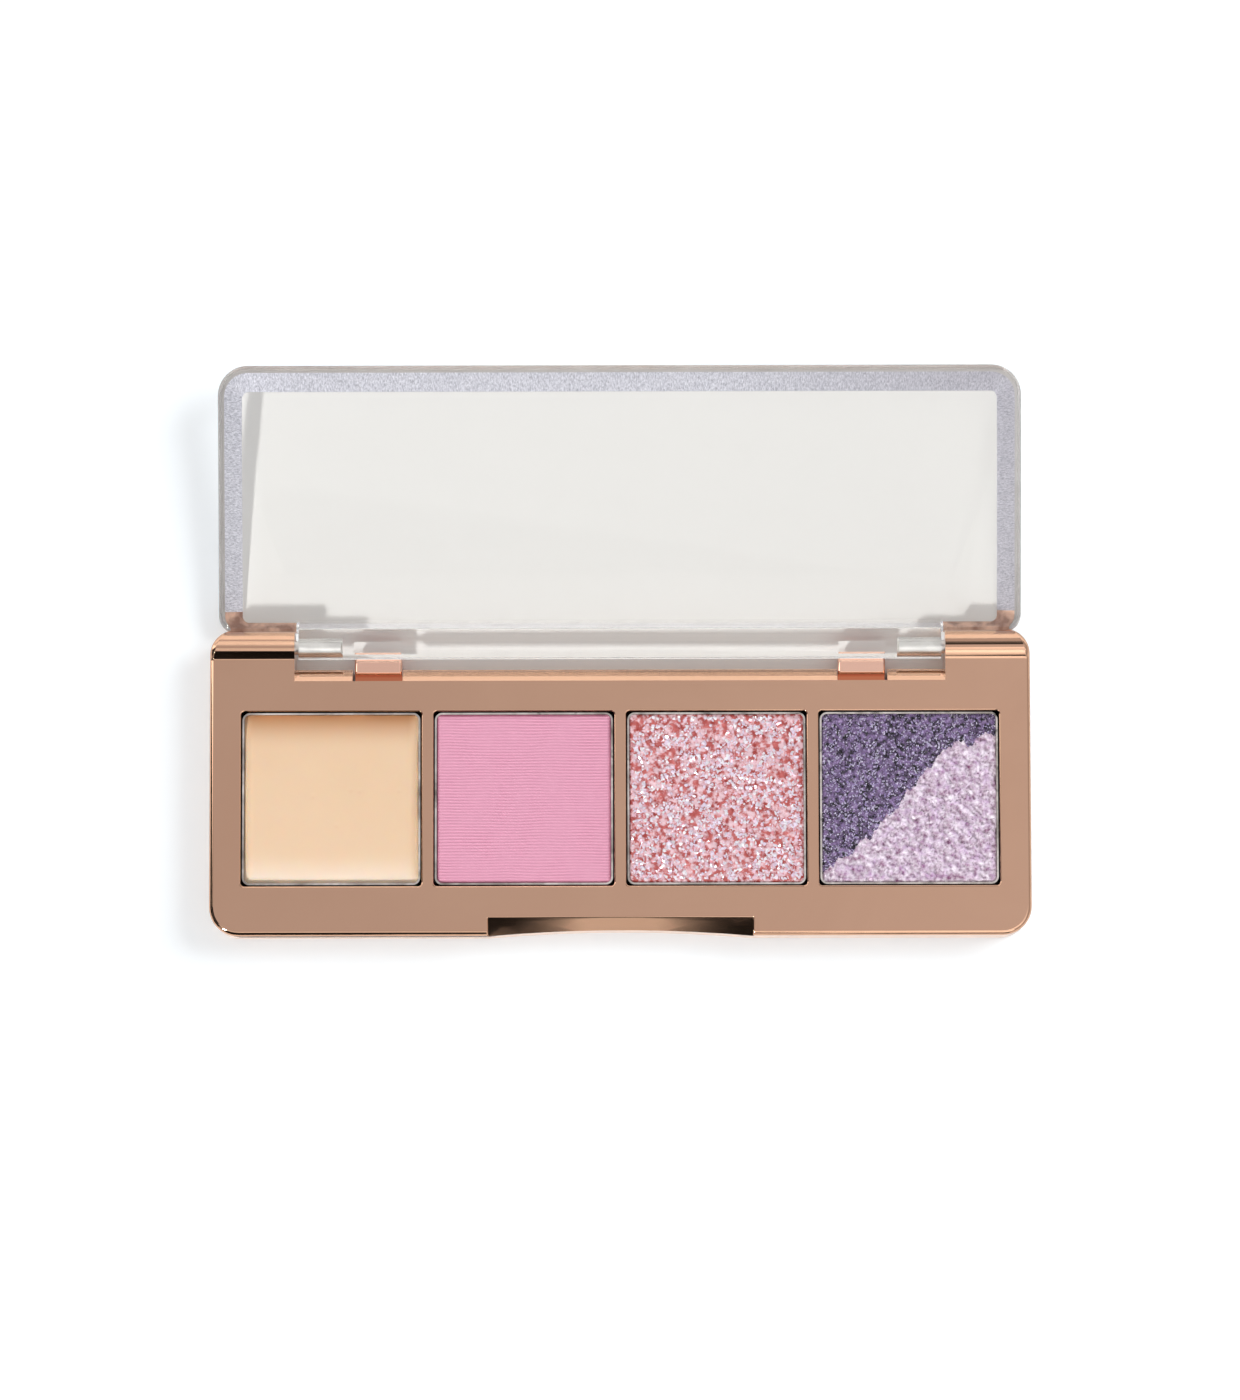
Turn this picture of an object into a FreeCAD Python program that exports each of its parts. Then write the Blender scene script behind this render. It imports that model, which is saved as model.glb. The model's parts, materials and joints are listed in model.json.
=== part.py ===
import FreeCAD, Part
import math
import os
from FreeCAD import Vector

# Slim eyeshadow palette, in millimetres.
# X runs along the row of pans, Y to the hinge at the rear and Z up.
# The origin is the centre of the underside of the base.
# The lid is modelled closed and then folded back to its rest pose.

# Pans and powder
pan_names = ["cream", "pink", "glitter", "duo"]
pan_length = 19.5
pan_width = 18.9
pan_height = 3.6
pan_sheet = 0.2
pan_corner = 0.8
pan_foot_round = 0.5
powder_drop = 0.2
pillow_rise = 0.15
pillow_round = 0.9
glue_border = 2.2
glue_corner = 2.0
glue_thickness = 0.3

# Base mouldings
well_clearance = 0.15
well_divider = 1.3
side_margin = 3.45
front_margin = 5.45
rear_deck = 3.35
rim_drop = 0.3
plate_thickness = 1.4
plate_border = 2.0
plate_clearance = 0.1
base_corner = 3.2
top_edge_round = 0.5
foot_edge_round = 0.3
well_edge_round = 0.15
well_corner = 0.4

# Thumb notch in the front edge
notch_length = 29.0
notch_depth = 2.0
notch_height = 1.3
notch_sag = 0.64
notch_edge_round = 0.15

# Lid slab
lid_thickness = 3.0
lid_gap = 0.1
lid_margin = 0.8
lid_bevel = 2.6
lid_bevel_height = 2.1
lid_rear_bevel = 1.2
lid_front_corner = 3.0
lid_rear_corner = 2.0
lid_window_corner = 0.7
lid_edge_round = 0.6
lid_setback = 1.48
open_angle = 171.4

# Hinge
pin_radius = 0.75
pin_running_clearance = 0.05
pin_seat_clearance = 0.01
pin_engagement = 4.8
pin_inset = 1.1
pin_end_chamfer = 0.15
barrel_wall = 0.5
barrel_end_gap = 0.4
knuckle_length = 9.3
knuckle_swing_clearance = 0.2
knuckle_blend = 0.5
knuckle_corner_ease = 0.3
rear_wall_clearance = 0.38
hinge_gap = 1.15
recess_round = 1.35
recess_bulge = 0.15
ramp_clearance = 0.8
web_rise = 0.4
ramp_meets_barrel = 225.0
web_meets_barrel = 75.0

# Tongues of the floor under the barrel, and the flats of the barrel over them
tongue_width = 5.2
tongue_from_barrel_end = 8.7
tongue_clearance = 0.15
tongue_pad_clearance = 0.15
tongue_pad_length = 2.65
tongue_tip_setback = 0.2
tongue_tip_thickness = 1.5
tongue_edge_round = 0.3
tongue_heel = 0.65
flat_depth = 0.2

# Values worked out from the sizes above
pan_count = len(pan_names)
well_length = pan_length + 2 * well_clearance
well_width = pan_width + 2 * well_clearance
well_pitch = well_length + well_divider
base_length = pan_count * well_length + (pan_count - 1) * well_divider + 2 * side_margin
half_length = base_length / 2
pan_floor = plate_thickness + glue_thickness
pan_rim = pan_floor + pan_height
deck_height = pan_rim + rim_drop
lid_inner = deck_height + lid_gap
lid_outer = lid_inner + lid_thickness
axis_height = lid_outer / 2
barrel_radius = pin_radius + pin_running_clearance + barrel_wall
knuckle_radius = math.hypot(lid_setback, lid_inner - axis_height) - knuckle_swing_clearance
axis_to_recess = barrel_radius + hinge_gap
axis_to_deck = axis_to_recess + recess_round
axis_from_front = front_margin + well_width + rear_deck + axis_to_deck
base_width = axis_from_front + knuckle_radius
front = -base_width / 2
axis_y = front + axis_from_front
rear = axis_y + knuckle_radius
rear_wall = axis_y + lid_setback - rear_wall_clearance
recess_wall = axis_y - axis_to_recess
deck_edge = axis_y - axis_to_deck
well_front = front + front_margin
well_centre_y = well_front + well_width / 2
recess_half = half_length - knuckle_length
barrel_half = recess_half - barrel_end_gap
lid_half = half_length - lid_margin
lid_front = front + lid_margin
lid_rear = axis_y - lid_setback
ramp_start = axis_y - axis_to_deck + ramp_clearance
tongue_x = barrel_half - tongue_from_barrel_end
tongue_top = axis_height - barrel_radius - tongue_pad_clearance
tongue_tip = axis_y - tongue_tip_setback
plate_rear = recess_wall - plate_border
reach = base_length
touch = 1e-6


def centres():
    """X of each pan, from left to right."""
    first = -(pan_count - 1) * well_pitch / 2
    return [first + index * well_pitch for index in range(pan_count)]


def box(x0, x1, y0, y1, z0, z1):
    """Box between two corners."""
    return Part.makeBox(x1 - x0, y1 - y0, z1 - z0, Vector(x0, y0, z0))


def rounded_outline(x0, x1, y0, y1, front_radius, rear_radius, z):
    """Closed rectangle with rounded front and rear corners, as a wire at height z."""
    corners = [
        (x1, y0, -1, 1, front_radius, -90),
        (x1, y1, -1, -1, rear_radius, 0),
        (x0, y1, 1, -1, rear_radius, 90),
        (x0, y0, 1, 1, front_radius, 180),
    ]
    arcs = []
    for x, y, inward_x, inward_y, radius, start in corners:
        centre = Vector(x + inward_x * radius, y + inward_y * radius, z)
        circle = Part.Circle(centre, Vector(0, 0, 1), radius)
        first = math.radians(start)
        arcs.append(circle.trim(first, first + math.pi / 2).toShape())
    edges = []
    for index, arc in enumerate(arcs):
        following = arcs[(index + 1) % len(arcs)]
        edges.append(arc)
        edges.append(Part.makeLine(arc.lastVertex().Point, following.firstVertex().Point))
    return Part.Wire(edges)


def rounded_plate(x0, x1, y0, y1, front_radius, rear_radius, z0, z1):
    """Prism on a rounded rectangle."""
    outline = rounded_outline(x0, x1, y0, y1, front_radius, rear_radius, z0)
    return Part.Face(outline).extrude(Vector(0, 0, z1 - z0))


def prism_along_x(edges, x0, x1):
    """Solid from a closed YZ section drawn at X = 0."""
    section = Part.Face(Part.Wire(edges))
    section.translate(Vector(x0, 0, 0))
    return section.extrude(Vector(x1 - x0, 0, 0))


def polygon_along_x(points, x0, x1):
    """Solid from a closed YZ polygon of (y, z) points."""
    corners = [Vector(0, y, z) for y, z in points]
    section = Part.Face(Part.makePolygon(corners + corners[:1]))
    section.translate(Vector(x0, 0, 0))
    return section.extrude(Vector(x1 - x0, 0, 0))


def line_yz(start, end):
    """Straight edge between two (y, z) points."""
    return Part.makeLine(Vector(0, *start), Vector(0, *end))


def arc_yz(start, middle, end):
    """Arc through three (y, z) points."""
    return Part.Arc(Vector(0, *start), Vector(0, *middle), Vector(0, *end)).toShape()


def around_axis(angle, radius):
    """Point at an angle in degrees and a radius round the hinge axis, as (y, z)."""
    turn = math.radians(angle)
    return (axis_y + radius * math.cos(turn), axis_height + radius * math.sin(turn))


def rod_along_x(x0, x1, radius):
    """Cylinder on the hinge axis."""
    return Part.makeCylinder(radius, x1 - x0, Vector(x0, axis_y, axis_height), Vector(1, 0, 0))


def edges_at_height(shape, z):
    """Edges of a shape that lie level at height z."""
    return [e for e in shape.Edges if abs(e.BoundBox.ZMin - z) < touch and abs(e.BoundBox.ZMax - z) < touch]


def base_section():
    """Edges of the side view of the base: deck, rounded knuckle and recessed rear wall."""
    blend_z = deck_height + knuckle_blend
    blend_reach = knuckle_radius + knuckle_blend
    blend_back = math.sqrt(blend_reach**2 - (blend_z - axis_height) ** 2)
    blend_centre = (axis_y - blend_back, blend_z)
    blend_start = (blend_centre[0], deck_height)
    climb = math.degrees(math.atan2(blend_z - axis_height, -blend_back))
    blend_end = around_axis(climb, knuckle_radius)
    half_way = math.radians((-90 + climb - 180) / 2)
    blend_middle = (
        blend_centre[0] + knuckle_blend * math.cos(half_way),
        blend_centre[1] + knuckle_blend * math.sin(half_way),
    )
    under = -math.degrees(math.acos((rear_wall - axis_y) / knuckle_radius))
    knuckle_under = around_axis(under, knuckle_radius)
    knuckle_middle = around_axis((climb + under) / 2, knuckle_radius)
    return [
        line_yz((front, 0), (front, deck_height)),
        line_yz((front, deck_height), blend_start),
        arc_yz(blend_start, blend_middle, blend_end),
        arc_yz(blend_end, knuckle_middle, knuckle_under),
        line_yz(knuckle_under, (rear_wall, 0)),
        line_yz((rear_wall, 0), (front, 0)),
    ]


def outer_top_edges(shape):
    """Edges of the deck and knuckles along the plan outline, above the hinge axis."""
    found = []
    for edge in shape.Edges:
        middle = edge.valueAt((edge.FirstParameter + edge.LastParameter) / 2)
        level = edge.BoundBox.ZLength < top_edge_round or edge.BoundBox.XLength < base_corner
        upright = edge.BoundBox.XLength < touch and edge.BoundBox.YLength < touch
        inside = abs(middle.x) < half_length - base_corner and middle.y > front + top_edge_round
        if middle.z > axis_height and level and not upright and not inside:
            found.append(edge)
    return found


def thumb_notch():
    """Scoop from a straight edge in the deck to a shallow arc part way down, and the hollow below it."""
    half = notch_length / 2
    outside = front - notch_depth
    waist = deck_height - notch_height
    foot = -foot_edge_round
    straight_edge = Part.makePolygon(
        [
            Vector(-half, outside, deck_height),
            Vector(half, outside, deck_height),
            Vector(half, front + notch_depth, deck_height),
            Vector(-half, front + notch_depth, deck_height),
            Vector(-half, outside, deck_height),
        ]
    )
    arc = Part.Arc(
        Vector(half, front, waist),
        Vector(0, front + notch_sag, waist),
        Vector(-half, front, waist),
    ).toShape()
    arc_edge = Part.Wire(
        [
            Part.makeLine(Vector(-half, outside, waist), Vector(half, outside, waist)),
            Part.makeLine(Vector(half, outside, waist), Vector(half, front, waist)),
            arc,
            Part.makeLine(Vector(-half, front, waist), Vector(-half, outside, waist)),
        ]
    )
    scoop = Part.makeLoft([straight_edge, arc_edge], True, True)
    hollow = Part.Face(arc_edge).extrude(Vector(0, 0, foot - waist))
    return scoop.fuse(hollow)


def hinge_recess():
    """Cut for the barrel, with a sloped and slightly rounded lip between the deck and its front wall."""
    below = -foot_edge_round - plate_thickness
    above = lid_outer
    roll_foot = deck_height - recess_round
    roll_middle = (
        (deck_edge + recess_wall) / 2 + recess_bulge * math.cos(math.pi / 4),
        deck_height - recess_round / 2 + recess_bulge * math.sin(math.pi / 4),
    )
    behind = rear + recess_round
    edges = [
        line_yz((recess_wall, below), (recess_wall, roll_foot)),
        arc_yz((recess_wall, roll_foot), roll_middle, (deck_edge, deck_height)),
        line_yz((deck_edge, deck_height), (deck_edge, above)),
        line_yz((deck_edge, above), (behind, above)),
        line_yz((behind, above), (behind, below)),
        line_yz((behind, below), (recess_wall, below)),
    ]
    return prism_along_x(edges, -recess_half, recess_half)


def floor_outline(grow, z0, z1):
    """Plate that fits inside the walls of the base, grown on every side for the pocket."""
    inset = plate_border - grow
    return rounded_plate(
        -half_length + inset,
        half_length - inset,
        front + inset,
        plate_rear + grow,
        max(base_corner - inset, plate_clearance),
        max(base_corner - inset, plate_clearance),
        z0,
        z1,
    )


def middle_of(edge):
    """Point half way along an edge."""
    return edge.valueAt((edge.FirstParameter + edge.LastParameter) / 2)


def well_edges(shape):
    """Edges of the wells in the deck."""
    well_rear = well_front + well_width
    within = half_length - side_margin + touch
    found = []
    for edge in edges_at_height(shape, deck_height):
        middle = middle_of(edge)
        if abs(middle.x) < within and well_front - touch < middle.y < well_rear + touch:
            found.append(edge)
    return found


def notch_edges(shape):
    """Edges of the thumb notch in the deck."""
    within = notch_length / 2 + touch
    found = []
    for edge in edges_at_height(shape, deck_height):
        middle = middle_of(edge)
        if abs(middle.x) < within and middle.y < front + notch_depth + touch:
            found.append(edge)
    return found


def make_base_frame():
    """Deck, walls and knuckles in one moulding, open below for the floor."""
    section = prism_along_x(base_section(), -half_length, half_length)
    plan_rear = rear + knuckle_corner_ease
    plan = rounded_plate(-half_length, half_length, front, plan_rear, base_corner, base_corner, 0, lid_outer)
    body = section.common(plan)
    body = body.makeFillet(top_edge_round, outer_top_edges(body))
    body = body.makeFillet(foot_edge_round, edges_at_height(body, 0))
    cuts = [hinge_recess(), thumb_notch(), floor_outline(plate_clearance, -plate_thickness, plate_thickness)]
    for x in centres():
        cuts.append(
            rounded_plate(
                x - well_length / 2,
                x + well_length / 2,
                well_front,
                well_front + well_width,
                well_corner,
                well_corner,
                0,
                lid_outer,
            )
        )
    slot_half = tongue_width / 2 + tongue_clearance
    for x in (-tongue_x, tongue_x):
        cuts.append(box(x - slot_half, x + slot_half, deck_edge, recess_wall, -plate_thickness, lid_outer))
        cuts.append(box(x - slot_half, x + slot_half, plate_rear, deck_edge, -plate_thickness, plate_thickness))
    seat_radius = pin_radius + pin_seat_clearance
    cuts.append(rod_along_x(-reach, -barrel_half, seat_radius))
    cuts.append(rod_along_x(barrel_half, reach, seat_radius))
    body = body.cut(cuts).removeSplitter()
    body = body.makeFillet(well_edge_round, well_edges(body))
    return body.makeFillet(notch_edge_round, notch_edges(body))


def make_bottom_plate():
    """Floor of the base, with two raised tongues that reach under the barrel."""
    plate = floor_outline(0, 0, plate_thickness)
    pad_start = tongue_tip - tongue_pad_length
    tongue = [
        (plate_rear - plate_border, 0),
        (pad_start + tongue_heel, 0),
        (tongue_tip, tongue_top - tongue_tip_thickness),
        (tongue_tip, tongue_top),
        (pad_start, tongue_top),
        (pad_start, plate_thickness),
        (plate_rear - plate_border, plate_thickness),
    ]
    for x in (-tongue_x, tongue_x):
        plate = plate.fuse(polygon_along_x(tongue, x - tongue_width / 2, x + tongue_width / 2))
    plate = plate.removeSplitter()
    return plate.makeFillet(tongue_edge_round, edges_at_height(plate, tongue_top))


def lid_slab():
    """Clear slab with bevelled outer edges and a rounded inner edge."""
    land = lid_outer - lid_bevel_height
    straight = rounded_plate(
        -lid_half, lid_half, lid_front, lid_rear, lid_front_corner, lid_rear_corner, lid_inner, land
    )
    straight = straight.makeFillet(lid_edge_round, edges_at_height(straight, lid_inner))
    wide = rounded_outline(-lid_half, lid_half, lid_front, lid_rear, lid_front_corner, lid_rear_corner, land)
    narrow = rounded_outline(
        -lid_half + lid_bevel,
        lid_half - lid_bevel,
        lid_front + lid_bevel,
        lid_rear - lid_rear_bevel,
        lid_window_corner,
        lid_window_corner,
        lid_outer,
    )
    bevel = Part.makeLoft([wide, narrow], True, True)
    return straight.fuse(bevel)


def make_lid():
    """Slab, sloped web and barrel, folded back to the rest pose."""
    web = [
        (ramp_start, lid_inner + web_rise),
        (ramp_start, lid_inner),
        around_axis(ramp_meets_barrel, barrel_radius),
        around_axis(web_meets_barrel, barrel_radius),
        (lid_rear, lid_inner + web_rise),
    ]
    lid = lid_slab()
    lid = lid.fuse(polygon_along_x(web, -barrel_half, barrel_half))
    lid = lid.fuse(rod_along_x(-barrel_half, barrel_half, barrel_radius))
    bore_radius = pin_radius + pin_running_clearance
    bore_end = barrel_half - pin_engagement - pin_running_clearance
    flat_z = axis_height - barrel_radius + flat_depth
    cuts = [rod_along_x(-reach, -bore_end, bore_radius), rod_along_x(bore_end, reach, bore_radius)]
    for x in (-tongue_x, tongue_x):
        cuts.append(
            box(
                x - tongue_width / 2,
                x + tongue_width / 2,
                axis_y - barrel_radius,
                axis_y + barrel_radius,
                axis_height - 2 * barrel_radius,
                flat_z,
            )
        )
    lid = lid.cut(cuts).removeSplitter()
    lid.rotate(Vector(0, axis_y, axis_height), Vector(1, 0, 0), -open_angle)
    return lid


def make_pin(side):
    """Steel pin pressed in one knuckle, its inner end in the barrel."""
    inner = barrel_half - pin_engagement
    outer = half_length - pin_inset
    pin = rod_along_x(inner, outer, pin_radius)
    pin = pin.makeChamfer(pin_end_chamfer, [e for e in pin.Edges if e.BoundBox.XLength < touch])
    if side < 0:
        pin = pin.mirror(Vector(0, 0, 0), Vector(1, 0, 0))
    return pin


def pan_block(x, inset, z0, z1):
    """Rounded block of the plan of a pan, inset by the given amount."""
    corner = max(pan_corner - inset, pan_sheet)
    return rounded_plate(
        x - pan_length / 2 + inset,
        x + pan_length / 2 - inset,
        well_centre_y - pan_width / 2 + inset,
        well_centre_y + pan_width / 2 - inset,
        corner,
        corner,
        z0,
        z1,
    )


def make_pan(x):
    """Drawn sheet-metal pan with a rounded foot."""
    outside = pan_block(x, 0, pan_floor, pan_rim)
    outside = outside.makeFillet(pan_foot_round, edges_at_height(outside, pan_floor))
    return outside.cut(pan_block(x, pan_sheet, pan_floor + pan_sheet, pan_rim + pan_height))


def make_glue(x):
    """Adhesive pad under a pan."""
    half_x = pan_length / 2 - glue_border
    half_y = pan_width / 2 - glue_border
    return rounded_plate(
        x - half_x,
        x + half_x,
        well_centre_y - half_y,
        well_centre_y + half_y,
        glue_corner,
        glue_corner,
        plate_thickness,
        pan_floor,
    )


def make_powder(x, top):
    """Pressed powder that fills a pan up to the given height."""
    return pan_block(x, pan_sheet, pan_floor + pan_sheet, top)


def make_pillow(x):
    """Pressed powder with a soft rounded top."""
    top = pan_rim + pillow_rise
    powder = make_powder(x, top)
    return powder.makeFillet(pillow_round, edges_at_height(powder, top))


def split_duo(powder, x):
    """Cut powder along a wavy diagonal and return the rear half and the front half."""
    half_x = pan_length / 2
    half_y = pan_width / 2
    shares = [(-1.05, -0.92), (-0.5, -0.5), (-0.08, -0.02), (0.25, 0.4), (0.55, 0.62), (1.05, 0.78)]
    points = [Vector(x + u * half_x, well_centre_y + v * half_y, 0) for u, v in shares]
    curve = Part.BSplineCurve()
    curve.interpolate(points)
    outer = [
        points[-1],
        Vector(x + pan_length, points[-1].y, 0),
        Vector(x + pan_length, well_centre_y - pan_width, 0),
        Vector(x - pan_length, well_centre_y - pan_width, 0),
        Vector(x - pan_length, points[0].y, 0),
        points[0],
    ]
    edges = [curve.toShape()] + [Part.makeLine(a, b) for a, b in zip(outer, outer[1:])]
    front_side = Part.Face(Part.Wire(edges)).extrude(Vector(0, 0, lid_outer))
    return powder.cut(front_side), powder.common(front_side)


def make_pieces():
    """All pieces by name."""
    pieces = {
        "base_frame": make_base_frame(),
        "bottom_plate": make_bottom_plate(),
        "lid": make_lid(),
        "hinge_pin_left": make_pin(-1),
        "hinge_pin_right": make_pin(1),
    }
    for name, x in zip(pan_names, centres()):
        pieces["pan_" + name] = make_pan(x)
        pieces["pan_glue_" + name] = make_glue(x)
        level = make_powder(x, pan_rim - powder_drop)
        if name == "cream":
            pieces["shadow_cream"] = make_pillow(x)
        elif name == "duo":
            pieces["shadow_violet"], pieces["shadow_lilac"] = split_duo(level, x)
        else:
            pieces["shadow_" + name] = level
    return pieces


os.makedirs("parts", exist_ok=True)
for node, shape in make_pieces().items():
    shape.exportStep(os.path.join("parts", node + ".step"))
    print(node, len(shape.Solids), shape.isValid(), round(shape.Volume, 2))
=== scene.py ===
import json
import math
import random

import bpy
from mathutils import Euler, Matrix, Vector, noise


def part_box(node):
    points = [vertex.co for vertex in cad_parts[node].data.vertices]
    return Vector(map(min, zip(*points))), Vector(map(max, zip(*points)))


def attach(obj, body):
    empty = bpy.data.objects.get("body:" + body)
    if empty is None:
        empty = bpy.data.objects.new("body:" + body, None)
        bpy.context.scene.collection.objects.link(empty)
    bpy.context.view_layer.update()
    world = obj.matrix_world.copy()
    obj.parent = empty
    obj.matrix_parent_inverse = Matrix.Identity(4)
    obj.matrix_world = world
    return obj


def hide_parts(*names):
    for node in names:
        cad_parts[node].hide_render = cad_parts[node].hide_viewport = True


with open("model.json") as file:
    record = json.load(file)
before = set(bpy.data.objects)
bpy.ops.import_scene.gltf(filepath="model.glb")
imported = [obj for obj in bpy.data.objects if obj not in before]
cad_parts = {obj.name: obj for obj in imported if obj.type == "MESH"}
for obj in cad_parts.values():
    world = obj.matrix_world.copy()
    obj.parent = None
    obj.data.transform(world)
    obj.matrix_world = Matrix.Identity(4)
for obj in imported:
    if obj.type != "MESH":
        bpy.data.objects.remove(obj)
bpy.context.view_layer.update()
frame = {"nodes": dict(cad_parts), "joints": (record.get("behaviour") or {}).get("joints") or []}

# All lengths are in metres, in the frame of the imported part: X along the row of pans, Y to the hinge, Z up.
mm = 0.001

# Camera, fitted to the corners of the base, the wells and the lid
camera_place = Vector((0.0, -62.07, 701.37)) * mm
camera_aim = Vector((0.0, 9.109, 5.0)) * mm
camera_roll = math.radians(-0.12)
camera_lens = 164.0
camera_sensor = 36.0

# Limits for a normal's share of an axis: a face turned that way, and a face turned away from it
level_normal = 0.9
upright_normal = 0.3

# Hinge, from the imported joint
hinge = frame["joints"][0]
hinge_place = Vector(hinge["pos_m"])
open_angle = math.radians(hinge["range_deg"][1])

# Lid, in its closed place before it is folded back
lid_half = 44.2 * mm
lid_front = -16.0 * mm
lid_rear = hinge_place.y - 1.48 * mm
lid_inner = 5.7 * mm
lid_outer = 8.7 * mm
lid_bevel = 2.6 * mm
lid_bevel_height = 2.1 * mm
lid_front_bevel = 3.0 * mm
lid_rear_bevel = 1.2 * mm
lid_rim_share = 0.27
lid_front_corner = 3.3 * mm
lid_rear_corner = 2.0 * mm
lid_window_corner = 0.7 * mm
lid_edge_round = 0.6 * mm
lid_crest = 0.07 * mm
# Reach of the rear strip of the lid that carries the painted reflection of the base
lid_reflection_reach = 2.4 * mm
lid_rim_reach = 2.0 * mm
lid_smooth_angle = 25
lid_near = 0.01 * mm
barrel_half = 35.3 * mm
barrel_radius = 1.3 * mm
bore_radius = 0.8 * mm
bore_depth = 4.85 * mm
flat_place = 26.6 * mm
flat_width = 5.2 * mm
flat_depth = 0.2 * mm
web_rise = 0.4 * mm
ramp_start = 12.0 * mm
web_under_angle = 225
web_over_angle = 75
lid_end_gap = 0.4 * mm

# Bounces after which a ray that is trapped in the lid goes straight on
trapped_depth = 4.5

# Table and white floor: heights, colours and the light of their own that lifts them
ground_size = 8.0
table_height = -0.08 * mm
table_colour = (0.93, 0.92, 0.895)
table_lift = 0.02
floor_height = -0.04 * mm
floor_colour = (0.53, 0.58, 0.605)
floor_lift = 0.53
plain_white = (1, 1, 1)

# Opening in the white floor under the base
opening_half = 44.0 * mm
opening_front = -14.0 * mm
opening_rear = 15.5 * mm

# Light from the sky, from the horizon up
sky_tones = [(0.0, (0.86, 0.855, 0.85)), (0.45, (0.36, 0.355, 0.35)), (0.9, (0.71, 0.70, 0.72))]

# Lamps: place, size and power
key_light = ((-0.49, -0.58, 0.85), 0.085, 7.4)
fill_light = ((0.40, -0.50, 1.0), 0.90, 1.0)
floor_light = ((0.76, 0.35, 0.85), 0.60, 10.4)

# A card that starts below this height stands on the table, and its lower border fades under the table
standing_height = 0.1
hidden_share = 0.4
card_glow = (1, 0.97, 0.92)

# Upright studio cards: name, low corner, high corner, shade, glow and steepness of the fade
upright_cards = [
    ("dark_card_front", (-0.62, -0.90, 0.14), (0.030, -0.90, 1.80), 0.01, 0.0, 12.0),
    ("dark_card_low", (-0.62, -0.91, 0.01), (-0.06, -0.91, 0.40), 0.01, 0.0, 6.0),
    ("grey_card_front", (-0.06, -0.92, 0.01), (0.06, -0.92, 0.80), 0.2, 0.60, 6.0),
    ("dark_card_right", (0.06, -0.91, 0.01), (0.35, -0.91, 0.46), 0.01, 0.0, 6.0),
    ("bright_card_right", (0.06, -0.93, 0.36), (0.60, -0.93, 1.90), 0.8, 1.05, 2.0),
    ("dark_card_left", (-0.85, -0.70, 0.01), (-0.85, 0.10, 0.85), 0.01, 0.0, 6.0),
    ("dark_card_left_high", (-0.86, -0.70, 0.65), (-0.86, 0.165, 3.20), 0.01, 0.0, 6.0),
    ("bright_card_left", (-0.85, 0.10, 0.01), (-0.85, 0.50, 1.60), 0.8, 1.4, 6.0),
    ("bright_card_rear", (-2.20, 0.90, 0.01), (2.20, 0.90, 0.72), 0.8, 0.60, 6.0),
    ("bright_card_rear_high", (-0.70, 0.40, 0.30), (0.0, 0.40, 2.20), 0.8, 0.42, 6.0),
    ("dark_card_rear_high", (0.03, 0.40, 0.50), (0.50, 0.40, 2.90), 0.10, 0.0, 6.0),
    ("bright_card_high", (-0.70, -0.40, 0.95), (0.0, -0.40, 2.80), 0.8, 0.46, 6.0),
    ("bright_card_high_right", (0.0, -0.40, 0.60), (0.70, -0.40, 2.80), 0.8, 0.62, 6.0),
]

# Dark cards on the table: name, low corner, high corner and shade
flat_card_height = 0.1 * mm
flat_cards = [
    ("dark_card_floor_left", (-0.0476, -0.0165), (-0.0452, 0.0155), 0.04),
    ("dark_card_floor_front", (-0.0430, -0.0190), (-0.012, -0.0170), 0.30),
]

# Rose gold on the floor moulding starts behind the wells
plating_start = 10.0 * mm
# Height of the step on the tongues: painted light above it, painted shade below it
plating_step = 2.0 * mm

# Pressed cakes in the pans, with the fineness of their meshes
cake_clearance = 0.02 * mm
cake_corner = 0.5 * mm
cake_smooth_angle = 55
cream_grid = (130, 126)
pink_grid = (190, 330)
lump_grid = (190, 184)

# Cream pillow, with its pits in mm from the middle
cream_rise = 1.0 * mm
cream_side = 1.1 * mm
cream_front = 3.6 * mm
cream_rear = 4.0 * mm
cream_side_drop = 0.55
cream_waver = 0.010 * mm
cream_pits = [(2.1, 1.0), (3.1, 0.9), (0.6, -2.9), (-2.0, 0.3), (7.4, 0.9)]
pit_radius = 0.2 * mm
pit_depth = 0.02 * mm

# Cloth print and border of the pink powder
rib_pitch = 0.33 * mm
rib_height = 0.070 * mm
rib_waver = 0.12 * mm
thread_pitch = 0.29 * mm
pink_edge = 0.4 * mm
pink_drop = 0.16 * mm

# Bed of the flakes
bed_edge = 0.5 * mm
bed_rise = 0.05 * mm
bed_lumps = 0.30 * mm
bed_drop = 0.10 * mm

# Two-tone pan, with its line as shares of the half size
duo_edge = 0.45 * mm
duo_blend = 0.5 * mm
duo_sink = 0.10 * mm
duo_rise = 0.08 * mm
duo_drop = 0.05 * mm
duo_reach = 0.3 * mm
duo_shares = [(-1.05, -0.92), (-0.5, -0.5), (-0.08, -0.02), (0.25, 0.4), (0.55, 0.62), (1.05, 0.78)]

# Flakes
flake_count = 3000
flake_seed = 11
flake_margin = 0.3 * mm
flake_lean = 0.28
flake_thickness = 0.35 * mm
flake_tone = 0.64
flake_tone_spread = 0.36


def deselect():
    """Leave the tools nothing to act on but the next new piece."""
    bpy.ops.object.select_all(action="DESELECT")


def take(piece):
    """Make a piece the only one selected."""
    deselect()
    piece.select_set(True)
    bpy.context.view_layer.objects.active = piece


def to_edit(mode):
    """Go to edit mode for faces, edges or corners."""
    bpy.ops.object.mode_set(mode="EDIT")
    bpy.ops.mesh.select_mode(type=mode)


def to_object():
    """Back to object mode."""
    bpy.ops.object.mode_set(mode="OBJECT")


def clear_pick(mode):
    """Leave nothing selected in the mesh."""
    to_edit(mode)
    bpy.ops.mesh.select_all(action="DESELECT")
    to_object()


def pick_faces(piece, wanted):
    """Select the faces that pass a test and go to edit mode."""
    clear_pick("FACE")
    for face in piece.data.polygons:
        face.select = wanted(face)
    to_edit("FACE")


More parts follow.
